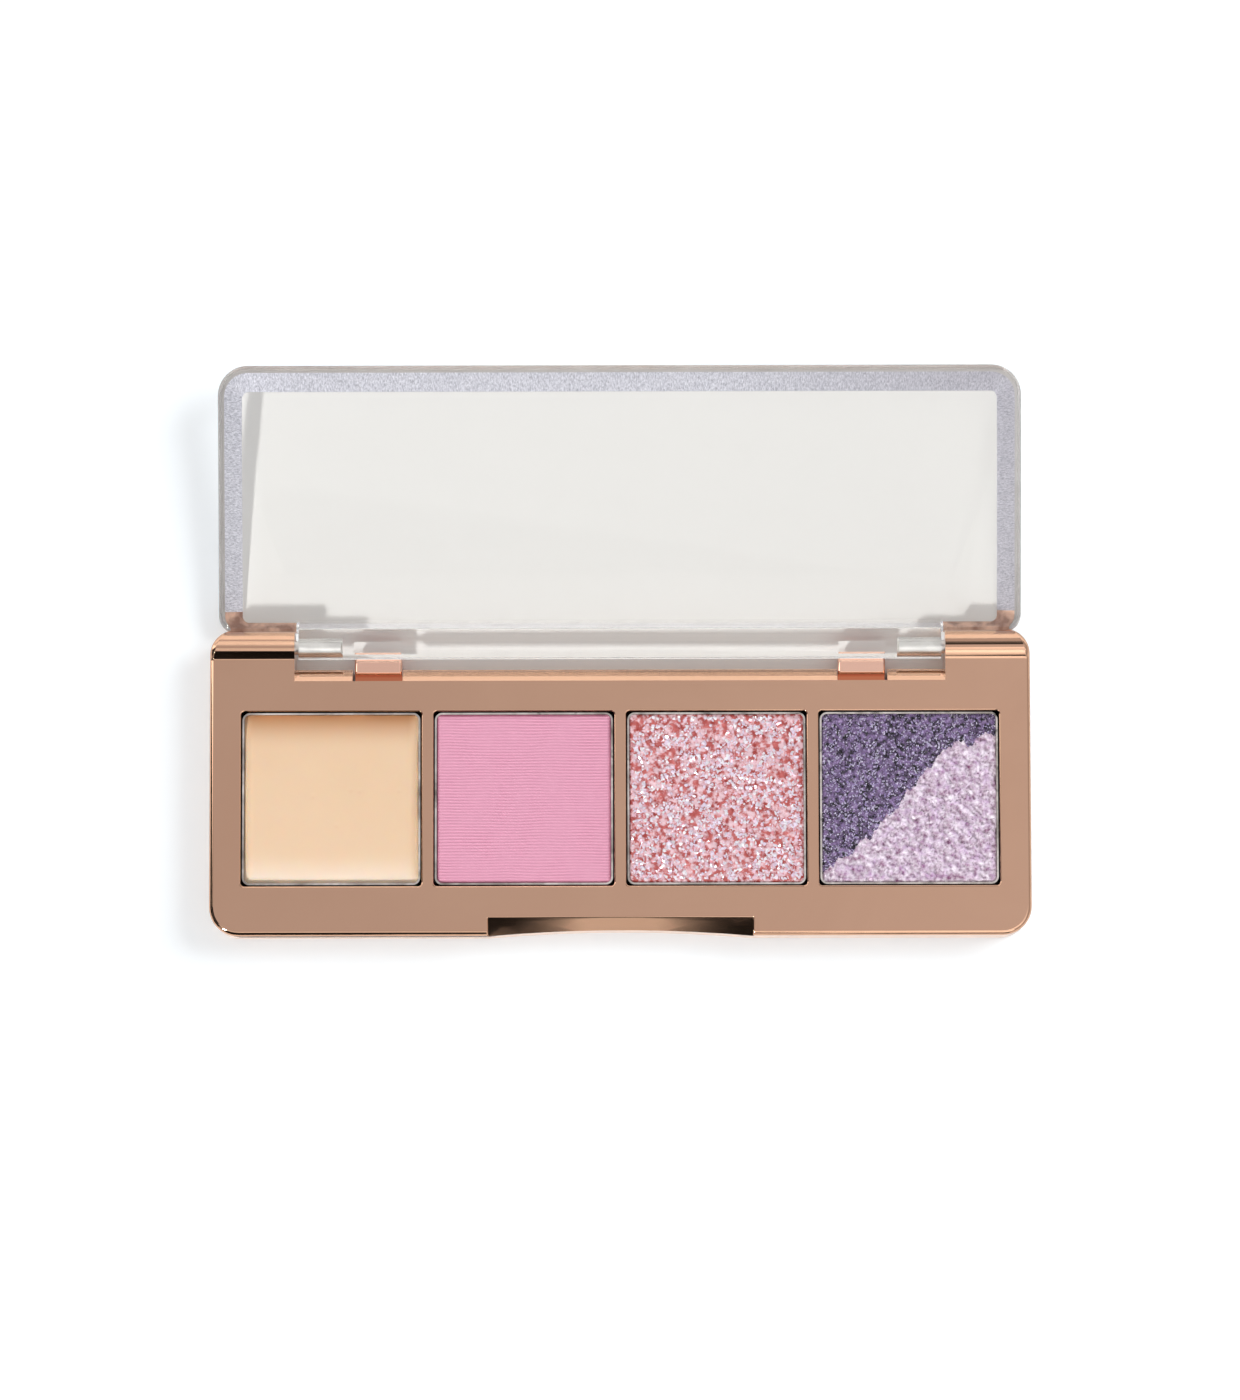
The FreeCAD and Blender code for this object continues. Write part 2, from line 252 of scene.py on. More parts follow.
def round_edges(piece, wanted, size, segments):
    """Round the edges whose two ends pass a test."""
    clear_pick("EDGE")
    corners = piece.data.vertices
    for edge in piece.data.edges:
        edge.select = wanted(corners[edge.vertices[0]].co, corners[edge.vertices[1]].co)
    to_edit("EDGE")
    bpy.ops.mesh.bevel(offset=size, segments=segments, affect="EDGES")
    to_object()


def extrude(*move):
    """Extrude what is selected by a move."""
    bpy.ops.mesh.extrude_region_move(TRANSFORM_OT_translate={"value": move})


def turn_outward():
    """Make all faces of the mesh face outward and go back to object mode."""
    bpy.ops.mesh.select_all(action="SELECT")
    bpy.ops.mesh.normals_make_consistent(inside=False)
    to_object()


def settle(piece):
    """Put the place and size of a piece in its mesh."""
    take(piece)
    bpy.ops.object.transform_apply(location=True, rotation=True, scale=True)


def apply_modifier(piece, modifier):
    """Make a modifier's result the mesh."""
    take(piece)
    bpy.ops.object.modifier_apply(modifier=modifier.name)


def combine(piece, other, operation):
    """Join another solid to a piece, or cut it out, and remove the other."""
    tool = piece.modifiers.new("combine", "BOOLEAN")
    tool.operation = operation
    tool.solver = "EXACT"
    tool.object = other
    apply_modifier(piece, tool)
    bpy.data.objects.remove(other)


def smooth(piece, angle):
    """Smooth shading, with edges kept where faces meet at more than an angle in degrees."""
    take(piece)
    bpy.ops.object.shade_smooth_by_angle(angle=math.radians(angle))


def solid_box(name, low, high):
    """Box between two corners, as a start or a cutter."""
    deselect()
    middle = (Vector(low) + Vector(high)) / 2
    bpy.ops.mesh.primitive_cube_add(size=1.0, location=middle)
    piece = bpy.context.active_object
    piece.name = name
    piece.scale = Vector(high) - Vector(low)
    settle(piece)
    return piece


def add_node(tree, kind, **settings):
    """New shader node in a tree, with its settings."""
    node = tree.nodes.new("ShaderNode" + kind)
    for name, value in settings.items():
        setattr(node, name, value)
    return node


def put(node, **values):
    """Set a node's sockets by name, with _ for a space."""
    for name, value in values.items():
        node.inputs[name.replace("_", " ")].default_value = value
    return node


def wire(source, output, target, entry):
    """Link an output of one node to an input of another."""
    source.id_data.links.new(source.outputs[output], target.inputs[entry])


def colour_ramp(tree, stops):
    """Colour ramp through (position, colour) stops."""
    node = add_node(tree, "ValToRGB")
    elements = node.color_ramp.elements
    for element, (position, colour) in zip(elements, (stops[0], stops[-1])):
        element.position = position
        element.color = (*colour, 1)
    for position, colour in stops[1:-1]:
        elements.new(position).color = (*colour, 1)
    return node


def stretched(source, output, low, high):
    """Value of a node's output, stretched so that low becomes 0 and high becomes 1."""
    node = put(add_node(source.id_data, "MapRange"), From_Min=low, From_Max=high)
    wire(source, output, node, "Value")
    return node


def above(source, output, limit):
    """Mask that is 1 where a value is above a limit."""
    node = add_node(source.id_data, "Math", operation="GREATER_THAN")
    wire(source, output, node, 0)
    node.inputs[1].default_value = limit
    return node


def larger(first, output, second, other):
    """Larger of the values of two nodes."""
    node = add_node(first.id_data, "Math", operation="MAXIMUM")
    wire(first, output, node, 0)
    wire(second, other, node, 1)
    return node


def split_place(tree, output):
    """X, Y and Z of one of the texture coordinates."""
    place = add_node(tree, "TexCoord")
    parts = add_node(tree, "SeparateXYZ")
    wire(place, output, parts, "Vector")
    return parts


def set_camera():
    """Camera at the viewing angle of the photograph."""
    data = bpy.data.cameras.new("photo_camera")
    data.sensor_fit = "VERTICAL"
    data.sensor_height = camera_sensor
    data.lens = camera_lens
    data.clip_start = 0.01
    data.clip_end = 20.0
    camera = bpy.data.objects.new("photo_camera", data)
    bpy.context.scene.collection.objects.link(camera)
    back = (camera_place - camera_aim).normalized()
    right = Vector((1, 0, 0))
    up = back.cross(right)
    turn = Matrix((right, up, back)).transposed() @ Matrix.Rotation(camera_roll, 3, "Z")
    camera.matrix_world = Matrix.Translation(camera_place) @ turn.to_4x4()
    bpy.context.scene.camera = camera


def set_world():
    """Bright overhead that falls off to the sides, and plain white where the camera looks past the floor."""
    world = bpy.data.worlds.new("studio")
    bpy.context.scene.world = world
    world.use_nodes = True
    tree = world.node_tree
    tree.nodes.clear()
    parts = split_place(tree, "Generated")
    height = colour_ramp(tree, sky_tones)
    wire(parts, "Z", height, "Fac")
    side = add_node(tree, "MapRange", interpolation_type="SMOOTHSTEP")
    put(side, From_Min=-0.09, From_Max=0.09, To_Min=0.88, To_Max=1.08)
    wire(parts, "X", side, "Value")
    sky = add_node(tree, "Background")
    wire(height, "Color", sky, "Color")
    wire(side, "Result", sky, "Strength")
    white = put(add_node(tree, "Background"), Color=(1, 1, 1, 1), Strength=1.0)
    path = add_node(tree, "LightPath")
    seen = larger(path, "Is Camera Ray", path, "Is Transmission Ray")
    mix = add_node(tree, "MixShader")
    wire(seen, "Value", mix, 0)
    wire(sky, "Background", mix, 1)
    wire(white, "Background", mix, 2)
    out = add_node(tree, "OutputWorld")
    wire(mix, "Shader", out, "Surface")


def add_lamp(name, place, size, power):
    """Square lamp that faces the middle of the part."""
    data = bpy.data.lights.new(name, "AREA")
    data.shape = "SQUARE"
    data.size = size
    data.energy = power
    lamp = bpy.data.objects.new(name, data)
    bpy.context.scene.collection.objects.link(lamp)
    lamp.location = place
    lamp.rotation_euler = (-Vector(place)).to_track_quat("-Z", "Y").to_euler()
    return lamp


def light_only(lamp, piece, state):
    """Make a lamp light only one piece, or every piece but that one."""
    group = bpy.data.collections.new(lamp.name + "_reach")
    group.objects.link(piece)
    group.collection_objects[0].light_linking.link_state = state
    lamp.light_linking.receiver_collection = group


def set_lamps(floor):
    """Small key lamp from the front left, and a broad lamp behind for the soft shadow on the floor."""
    key = add_lamp("key_lamp", *key_light)
    fill = add_lamp("fill_lamp", *fill_light)
    shadow = add_lamp("floor_lamp", *floor_light)
    light_only(key, floor, "EXCLUDE")
    light_only(fill, floor, "EXCLUDE")
    light_only(shadow, floor, "INCLUDE")


def studio_plane(name, place, turn, width, depth):
    """Plane of a given size, for the cards and the table."""
    deselect()
    bpy.ops.mesh.primitive_plane_add(size=1.0, location=place, rotation=turn)
    plane = bpy.context.active_object
    plane.name = name
    plane.scale = (width, depth, 1)
    settle(plane)
    return plane


def matte_paint(piece, colour, glow_colour, glow):
    """Give a piece of the studio a plain matte finish with some light of its own."""
    paint, tree, shader = new_finish(piece.name)
    put(shader, Base_Color=(*colour, 1), Roughness=0.9, Specular_IOR_Level=0.0)
    put(shader, Emission_Color=(*glow_colour, 1), Emission_Strength=glow)
    piece.data.materials.append(paint)
    return tree, shader


def fade_border(tree, shader, start, end, steepness):
    """Alpha that is 1 in the middle between two heights and fades to 0 at both."""
    parts = split_place(tree, "Object")
    share = put(add_node(tree, "MapRange"), From_Min=start, From_Max=end, To_Min=-1.0, To_Max=1.0)
    wire(parts, "Z", share, "Value")
    size = add_node(tree, "Math", operation="ABSOLUTE")
    wire(share, "Result", size, 0)
    power = add_node(tree, "Math", operation="POWER")
    wire(size, "Value", power, 0)
    power.inputs[1].default_value = steepness
    fade = add_node(tree, "Math", operation="SUBTRACT")
    fade.inputs[0].default_value = 1.0
    wire(power, "Value", fade, 1)
    wire(fade, "Value", shader, "Alpha")


def hide_from(piece, *rays):
    """Keep a piece from being seen by some kinds of ray."""
    for kind in rays:
        setattr(piece, "visible_" + kind, False)


def gloss_only(card):
    """Leave a card to be seen in gloss alone."""
    hide_from(card, "camera", "diffuse", "shadow", "transmission")


def add_card(name, low, high, shade, glow, steepness):
    """Upright studio card with soft borders that only gloss sees."""
    middle = (Vector(low) + Vector(high)) / 2
    span = Vector(high) - Vector(low)
    upright = (math.pi / 2, 0, math.atan2(span.y, span.x))
    card = studio_plane(name, middle, upright, math.hypot(span.x, span.y), span.z)
    tree, shader = matte_paint(card, (shade, shade, shade), card_glow, glow)
    start = low[2] if low[2] > standing_height else low[2] - hidden_share * span.z
    fade_border(tree, shader, start, high[2], steepness)
    gloss_only(card)


def add_flat_card(name, low, high, shade):
    """Dark studio card that lies on the table."""
    middle = ((low[0] + high[0]) / 2, (low[1] + high[1]) / 2, flat_card_height)
    card = studio_plane(name, middle, (0, 0, 0), high[0] - low[0], high[1] - low[1])
    matte_paint(card, (shade, shade, shade), card_glow, 0.0)
    gloss_only(card)


def set_cards():
    """Dark and bright cards round the part, for the dark and bright lines in its metal."""
    for card in upright_cards:
        add_card(*card)
    for card in flat_cards:
        add_flat_card(*card)


def set_table():
    """Plain pale table top that light, gloss and clear plastic see, and the camera through the hinge gap."""
    table = studio_plane("table", (0, 0, table_height), (0, 0, 0), ground_size, ground_size)
    matte_paint(table, table_colour, plain_white, table_lift)


def set_floor():
    """White floor with a soft shadow and an opening under the base, for the camera alone."""
    deselect()
    place = (0, 0, floor_height)
    bpy.ops.mesh.primitive_grid_add(x_subdivisions=3, y_subdivisions=3, size=ground_size, location=place)
    floor = bpy.context.active_object
    floor.name = "floor"
    settle(floor)
    inner = ground_size / 4
    for corner in floor.data.vertices:
        if abs(corner.co.x) < inner and abs(corner.co.y) < inner:
            corner.co.x = math.copysign(opening_half, corner.co.x)
            corner.co.y = opening_rear if corner.co.y > 0 else opening_front
    pick_faces(floor, lambda face: face.center.length < opening_half)
    bpy.ops.mesh.delete(type="FACE")
    to_object()
    matte_paint(floor, floor_colour, plain_white, floor_lift)
    hide_from(floor, "diffuse", "glossy", "transmission", "shadow")
    return floor


def new_group(name, inputs, outputs):
    """Shader node group with named sockets: (name, value) inputs and (name, kind) outputs."""
    group = bpy.data.node_groups.new(name, "ShaderNodeTree")
    for socket, value in inputs:
        entry = group.interface.new_socket(socket, in_out="INPUT", socket_type="NodeSocketFloat")
        entry.default_value = value
    for socket, kind in outputs:
        group.interface.new_socket(socket, in_out="OUTPUT", socket_type=kind)
    return group, group.nodes.new("NodeGroupInput"), group.nodes.new("NodeGroupOutput")


def scaled_noise(place, output, given, scale, **values):
    """Noise at a place, with its scale from another node."""
    node = put(add_node(place.id_data, "TexNoise"), **values)
    wire(place, output, node, "Vector")
    wire(given, scale, node, "Scale")
    return node


def handling_marks():
    """Group: soft smudges and fine hairlines, as on handled gloss."""
    group, given, result = new_group(
        "handling_marks",
        [("Smudge Scale", 90.0), ("Hairline Scale", 900.0)],
        [("Smudge", "NodeSocketFloat"), ("Hairline", "NodeSocketFloat"), ("Ripple", "NodeSocketFloat")],
    )
    place = add_node(group, "TexCoord")
    settings = {"Detail": 5.0, "Roughness": 0.6, "Distortion": 0.6}
    smudge = scaled_noise(place, "Object", given, "Smudge Scale", **settings)
    patches = stretched(smudge, "Fac", 0.38, 0.72)
    wire(patches, "Result", result, "Smudge")
    stretch = put(add_node(group, "Mapping"), Rotation=(0.0, 0.0, 0.6), Scale=(0.05, 1.0, 1.0))
    wire(place, "Object", stretch, "Vector")
    hair = scaled_noise(stretch, "Vector", given, "Hairline Scale", Detail=3.0, Roughness=0.5)
    thin = stretched(hair, "Fac", 0.66, 0.74)
    wire(thin, "Result", result, "Hairline")
    finer = add_node(group, "Math", operation="MULTIPLY")
    finer.inputs[1].default_value = 3.0
    wire(given, "Smudge Scale", finer, 0)
    ripple = scaled_noise(place, "Object", finer, "Value", Detail=1.0)
    wire(ripple, "Fac", result, "Ripple")
    return group


def pressed_grain():
    """Group: fine grain and broad mottling of pressed powder."""
    group, given, result = new_group(
        "pressed_grain",
        [("Grain Scale", 9000.0), ("Mottle Scale", 700.0)],
        [("Grain", "NodeSocketFloat"), ("Mottle", "NodeSocketFloat")],
    )
    place = add_node(group, "TexCoord")
    fine = scaled_noise(place, "Object", given, "Grain Scale", Detail=2.0, Roughness=0.6)
    wire(fine, "Fac", result, "Grain")
    mottle = scaled_noise(place, "Object", given, "Mottle Scale", Detail=4.0, Roughness=0.62)
    patches = stretched(mottle, "Fac", 0.3, 0.7)
    wire(patches, "Result", result, "Mottle")
    return group


def pearl_sparkle():
    """Group: small facets, each with its own tone and tilt, and the few that glint."""
    group, given, result = new_group(
        "pearl_sparkle",
        [("Facet Scale", 4000.0), ("Tilt", 0.6), ("Rarity", 0.8)],
        [("Tone", "NodeSocketFloat"), ("Glint", "NodeSocketFloat"), ("Normal", "NodeSocketVector")],
    )
    place = add_node(group, "TexCoord")
    facets = add_node(group, "TexVoronoi")
    wire(place, "Object", facets, "Vector")
    wire(given, "Facet Scale", facets, "Scale")
    parts = add_node(group, "SeparateColor")
    wire(facets, "Color", parts, "Color")
    wire(parts, "Red", result, "Tone")
    bright = add_node(group, "Math", operation="GREATER_THAN")
    wire(parts, "Green", bright, 0)
    wire(given, "Rarity", bright, 1)
    wire(bright, "Value", result, "Glint")
    lean = add_node(group, "VectorMath", operation="SUBTRACT")
    lean.inputs[1].default_value = (0.5, 0.5, 0.5)
    wire(facets, "Color", lean, 0)
    tilt = add_node(group, "VectorMath", operation="SCALE")
    wire(lean, "Vector", tilt, 0)
    wire(given, "Tilt", tilt, "Scale")
    surface = add_node(group, "NewGeometry")
    added = add_node(group, "VectorMath", operation="ADD")
    wire(surface, "Normal", added, 0)
    wire(tilt, "Vector", added, 1)
    unit = add_node(group, "VectorMath", operation="NORMALIZE")
    wire(added, "Vector", unit, 0)
    wire(unit, "Vector", result, "Normal")
    return group


def new_finish(name):
    """New material with its shader."""
    finish = bpy.data.materials.new(name)
    finish.use_nodes = True
    tree = finish.node_tree
    return finish, tree, tree.nodes["Principled BSDF"]


def use_group(tree, group, **values):
    """Place a shared effect in a material, with its own values."""
    node = add_node(tree, "Group", node_tree=group)
    return put(node, **values)


def colour_mix(tree, blend="MIX", **values):
    """Node that mixes two colours."""
    return put(add_node(tree, "Mix", data_type="RGBA", blend_type=blend), **values)


def blend_colours(mask, output, low, high):
    """Colour between two, by a mask."""
    mix = colour_mix(mask.id_data, A=(*low, 1), B=(*high, 1))
    wire(mask, output, mix, "Factor")
    return mix


def ramp_into(target, entry, mask, output, low, high):
    """Feed an input with a value between two, by a mask."""
    ramp = put(add_node(target.id_data, "MapRange"), To_Min=low, To_Max=high)
    wire(mask, output, ramp, "Value")
    wire(ramp, "Result", target, entry)


def bump(shader, height, output, distance):
    """Fine relief in the shading."""
    node = put(add_node(shader.id_data, "Bump"), Distance=distance, Strength=1.0)
    wire(height, output, node, "Height")
    wire(node, "Normal", shader, "Normal")


def rose_gold(marks):
    """Glossy rose-gold metallising on moulded plastic."""
    finish, tree, shader = new_finish("rose_gold")
    put(shader, Metallic=1.0)
    touch = use_group(tree, marks, Smudge_Scale=70.0, Hairline_Scale=1500.0)
    colour = blend_colours(touch, "Smudge", (0.70, 0.43, 0.295), (0.675, 0.41, 0.28))
    wire(colour, "Result", shader, "Base Color")
    ramp_into(shader, "Roughness", touch, "Smudge", 0.05, 0.075)
    bump(shader, touch, "Ripple", 0.002 * mm)
    return finish


def plate_moulding(grain):
    """Floor moulding: near black inside the base, as painted shade for the gaps round the pans, and rose gold
    on the tongues behind it, painted pale above their step and deep orange below it.
    """
    finish, tree, shader = new_finish("floor_plastic")
    lumps = use_group(tree, grain, Grain_Scale=4000.0, Mottle_Scale=400.0)
    parts = split_place(tree, "Object")
    plated = above(parts, "Y", plating_start)
    # Near black: painted shade for the dark gaps round the pans
    gap_shade = blend_colours(lumps, "Mottle", (0.012, 0.010, 0.009), (0.022, 0.018, 0.016))
    # Painted light and shade on the tongues: pale above the step, deep orange below it
    raised = above(parts, "Z", plating_step)
    rose = blend_colours(raised, "Value", (0.64, 0.20, 0.10), (0.97, 0.60, 0.46))
    colour = colour_mix(tree)
    wire(plated, "Value", colour, "Factor")
    wire(gap_shade, "Result", colour, "A")
    wire(rose, "Result", colour, "B")
    wire(colour, "Result", shader, "Base Color")
    wire(plated, "Value", shader, "Metallic")
    ramp_into(shader, "Roughness", plated, "Value", 0.6, 0.05)
    bump(shader, lumps, "Grain", 0.002 * mm)
    return finish


def clear_plastic(marks):
    """Clear moulded plastic that lets light through to what lies under it, and trapped rays out."""
    finish, tree, shader = new_finish("clear_plastic")
    put(shader, Base_Color=(0.975, 0.98, 0.97, 1), IOR=1.49, Transmission_Weight=1.0)
    touch = use_group(tree, marks, Smudge_Scale=60.0, Hairline_Scale=1300.0)
    ramp_into(shader, "Roughness", touch, "Hairline", 0.01, 0.05)
    bump(shader, touch, "Ripple", 0.003 * mm)
    path = add_node(tree, "LightPath")
    passing = larger(path, "Is Shadow Ray", path, "Is Diffuse Ray")
    deep = above(path, "Ray Depth", trapped_depth)
    free = larger(passing, "Value", deep, "Value")
    open_air = put(add_node(tree, "BsdfTransparent"), Color=(0.93, 0.93, 0.925, 1))
    mix = add_node(tree, "MixShader")
    wire(free, "Value", mix, 0)
    wire(shader, "BSDF", mix, 1)
    wire(open_air, "BSDF", mix, 2)
    wire(mix, "Shader", tree.nodes["Material Output"], "Surface")
    return finish


def satin_bevel():
    """Frosted bevel of the lid, lilac silver, with fine cutter lines across it, and painted shade that
    darkens it towards the right.
    """
    finish, tree, shader = new_finish("satin_bevel")
    put(shader, Metallic=0.1, Roughness=0.36)
    place = add_node(tree, "TexCoord")
    surface = add_node(tree, "NewGeometry")
    parts = add_node(tree, "SeparateXYZ")
    wire(surface, "Normal", parts, "Vector")
    aside = add_node(tree, "Math", operation="ABSOLUTE")
    wire(parts, "X", aside, 0)
    on_side = above(aside, "Value", 0.45)
    chosen = add_node(tree, "Mix", data_type="FLOAT")
    wire(on_side, "Value", chosen, "Factor")
    for entry, stretch in (("A", (7600.0, 2600.0, 2600.0)), ("B", (2600.0, 7600.0, 2600.0))):
        fit = put(add_node(tree, "Mapping"), Scale=stretch)
        wire(place, "Object", fit, "Vector")
        cuts = put(add_node(tree, "TexNoise"), Scale=1.0, Detail=3.0, Roughness=0.7)
        wire(fit, "Vector", cuts, "Vector")
        wire(cuts, "Fac", chosen, entry)
    depth = stretched(chosen, "Result", 0.3, 0.7)
    colour = blend_colours(depth, "Result", (0.33, 0.335, 0.40), (0.91, 0.915, 0.99))
    spot = add_node(tree, "SeparateXYZ")
    wire(place, "Object", spot, "Vector")
    # Painted shade across the lid: a touch lighter at the far left edge and darker towards the right, as the
    # light falls from the left
    across = stretched(spot, "X", -lid_half, lid_half)
    plain = (1.0, 1.0, 1.0)
    bright, dim = (1.10, 1.10, 1.10), (0.74, 0.72, 0.73)
    fall = colour_ramp(tree, [(0.04, bright), (0.1, plain), (0.6, plain), (1.0, dim)])
    wire(across, "Result", fall, "Fac")
    toned = colour_mix(tree, "MULTIPLY", Factor=1.0)
    wire(colour, "Result", toned, "A")
    wire(fall, "Color", toned, "B")
    wire(toned, "Result", shader, "Base Color")
    bump(shader, depth, "Result", 0.012 * mm)
    return finish


def painted_rim_shade(grain):
    """Outer rim of the lid: half-clear grey, painted shade for the darkening where its rounded edge bends the
    light away.
    """
    finish, tree, shader = new_finish("painted_rim_shade")
    put(shader, IOR=1.49, Transmission_Weight=0.45, Roughness=0.32)
    lumps = use_group(tree, grain, Grain_Scale=3000.0, Mottle_Scale=240.0)
    # Painted shade: mottled grey for the rim's darkening
    colour = blend_colours(lumps, "Mottle", (0.36, 0.34, 0.33), (0.45, 0.43, 0.42))
    wire(colour, "Result", shader, "Base Color")
    bump(shader, lumps, "Grain", 0.004 * mm)
    return finish


def painted_base_reflection():
    """Rear edge of the lid beside the knuckles: a painted reflection of the rose-gold base, in streaks."""
    finish, tree, shader = new_finish("painted_base_reflection")
    put(shader, Metallic=0.4, Roughness=0.45)
    place = add_node(tree, "TexCoord")
    lines = put(add_node(tree, "TexNoise"), Scale=700.0, Detail=2.0)
    wire(place, "Object", lines, "Vector")
    streaks = stretched(lines, "Fac", 0.38, 0.62)
    # Painted reflection of the base, streaked in dark and light rose
    colour = blend_colours(streaks, "Result", (0.40, 0.20, 0.14), (0.84, 0.54, 0.40))
    wire(colour, "Result", shader, "Base Color")
    return finish


def bright_metal(name, marks, light, dark, gloss, dull, ripple):
    """Bright metal with smudges and hairlines."""
    finish, tree, shader = new_finish(name)
    put(shader, Metallic=1.0)
    touch = use_group(tree, marks, Smudge_Scale=260.0, Hairline_Scale=2600.0)
    colour = blend_colours(touch, "Smudge", light, dark)
    wire(colour, "Result", shader, "Base Color")
    ramp_into(shader, "Roughness", touch, "Hairline", gloss, dull)
    bump(shader, touch, "Ripple", ripple)
    return finish


def adhesive(grain):
    """Milky adhesive pad."""
    finish, tree, shader = new_finish("adhesive")
    put(shader, Roughness=0.55)
    lumps = use_group(tree, grain, Grain_Scale=3000.0, Mottle_Scale=500.0)
    colour = blend_colours(lumps, "Mottle", (0.66, 0.63, 0.55), (0.78, 0.75, 0.67))
    wire(colour, "Result", shader, "Base Color")
    bump(shader, lumps, "Grain", 0.02 * mm)
    return finish


def cream_painted_slope_light(grain):
    """Cream product: smooth and slightly translucent. Its colour follows its slope, with a painted highlight
    on the front slope, painted shade on the rear slope and painted light on the right-hand slope.
    """
    finish, tree, shader = new_finish("powder_cream")
    put(shader, Roughness=0.5, Specular_IOR_Level=0.4, Subsurface_Weight=0.3, Subsurface_Scale=0.4 * mm)
    put(shader, Subsurface_Radius=(1.0, 0.55, 0.25))
    lumps = use_group(tree, grain, Grain_Scale=2500.0, Mottle_Scale=160.0)
    parts = split_place(tree, "Normal")
    slope = stretched(parts, "Y", -0.55, 0.65)
    # Painted highlight and shade by slope: pale where the surface faces the front, deep orange where it faces
    # the rear
    front, top, behind = (0.83, 0.69, 0.55), (0.82, 0.60, 0.40), (0.60, 0.265, 0.105)
    tones = colour_ramp(tree, [(0.1, front), (0.46, top), (0.95, behind)])
    wire(slope, "Result", tones, "Fac")
    # Painted light on the slope that faces right, paler the more it leans
    sides = colour_mix(tree, B=(0.98, 0.72, 0.48, 1))
    ramp_into(sides, "Factor", parts, "X", 0.0, 0.9)
    wire(tones, "Color", sides, "A")
    tint = colour_mix(tree, "MULTIPLY", B=(0.96, 0.93, 0.90, 1))
    ramp_into(tint, "Factor", lumps, "Mottle", 0.3, 0.0)
    wire(sides, "Result", tint, "A")
    wire(tint, "Result", shader, "Base Color")
    bump(shader, lumps, "Grain", 0.004 * mm)
    return finish


def pink_matte(grain):
    """Matte pink powder with the print of the pressing cloth. The grooves of the print and the sunken border
    are darkened by painted shade.
    """
    finish, tree, shader = new_finish("powder_pink")
    put(shader, Roughness=0.85, Specular_IOR_Level=0.2, Sheen_Weight=0.08)
    lumps = use_group(tree, grain, Grain_Scale=8000.0, Mottle_Scale=900.0)
    relief = add_node(tree, "Attribute", attribute_name="relief")
    # Painted shade: darker the lower the relief, in the grooves of the print and at the sunken border
    cloth = blend_colours(relief, "Fac", (0.40, 0.10, 0.18), (0.92, 0.475, 0.625))
    worn = colour_mix(tree, "MULTIPLY", B=(0.90, 0.80, 0.86, 1))
    ramp_into(worn, "Factor", lumps, "Mottle", 0.25, 0.0)
    wire(cloth, "Result", worn, "A")
    wire(worn, "Result", shader, "Base Color")
    bump(shader, lumps, "Grain", 0.008 * mm)
    return finish


def coral_bed(grain):
    """Coral red bed under the flakes, darkened in its low places by painted shade."""
    finish, tree, shader = new_finish("powder_glitter_bed")
    put(shader, Roughness=0.55)
    lumps = use_group(tree, grain, Grain_Scale=6000.0, Mottle_Scale=1600.0)
    relief = add_node(tree, "Attribute", attribute_name="relief")
    # Painted shade: the lower the relief, the darker and deeper red
    depth = stretched(relief, "Fac", 0.2, 0.85)
    hollow_shade = blend_colours(depth, "Result", (0.34, 0.030, 0.025), (0.64, 0.16, 0.15))
    pearl = colour_mix(tree, B=(0.80, 0.55, 0.60, 1))
    patch = stretched(lumps, "Mottle", 0.35, 0.70)
    wire(patch, "Result", pearl, "Factor")
    wire(hollow_shade, "Result", pearl, "A")
    wire(pearl, "Result", shader, "Base Color")
    bump(shader, lumps, "Grain", 0.03 * mm)
    return finish


def flake_pearl():
    """Pearl flakes in white, pale pink, lilac and rose, each with its own tone."""
    finish, tree, shader = new_finish("powder_glitter")
    put(shader, Roughness=0.3, Metallic=0.25)
    tone = add_node(tree, "Attribute", attribute_name="tone")
    rose, pale_pink = (0.72, 0.30, 0.34), (0.84, 0.58, 0.68)
    lilac, white = (0.80, 0.70, 0.85), (0.90, 0.88, 0.92)
    tones = colour_ramp(tree, [(0.0, rose), (0.25, pale_pink), (0.55, lilac), (1.0, white)])
    wire(tone, "Fac", tones, "Fac")
    wire(tones, "Color", shader, "Base Color")
    return finish


def violet_sparkle(grain, sparkle):
    """Dark violet powder full of fine sparkle."""
    finish, tree, shader = new_finish("powder_violet")
    lumps = use_group(tree, grain, Grain_Scale=5000.0, Mottle_Scale=1900.0)
    facet = use_group(tree, sparkle, Facet_Scale=7000.0, Tilt=0.9, Rarity=0.78)
    patch = stretched(lumps, "Mottle", 0.25, 0.80)
    ground = blend_colours(patch, "Result", (0.004, 0.002, 0.008), (0.23, 0.15, 0.32))
    lit = colour_mix(tree)
    wire(facet, "Glint", lit, "Factor")
    wire(ground, "Result", lit, "A")
    spark = blend_colours(facet, "Tone", (0.26, 0.19, 0.42), (0.82, 0.78, 0.97))
    wire(spark, "Result", lit, "B")
    wire(lit, "Result", shader, "Base Color")
    ramp_into(shader, "Metallic", facet, "Glint", 0.15, 0.8)
    ramp_into(shader, "Roughness", facet, "Tone", 0.45, 0.25)
    wire(facet, "Normal", shader, "Normal")
    return finish


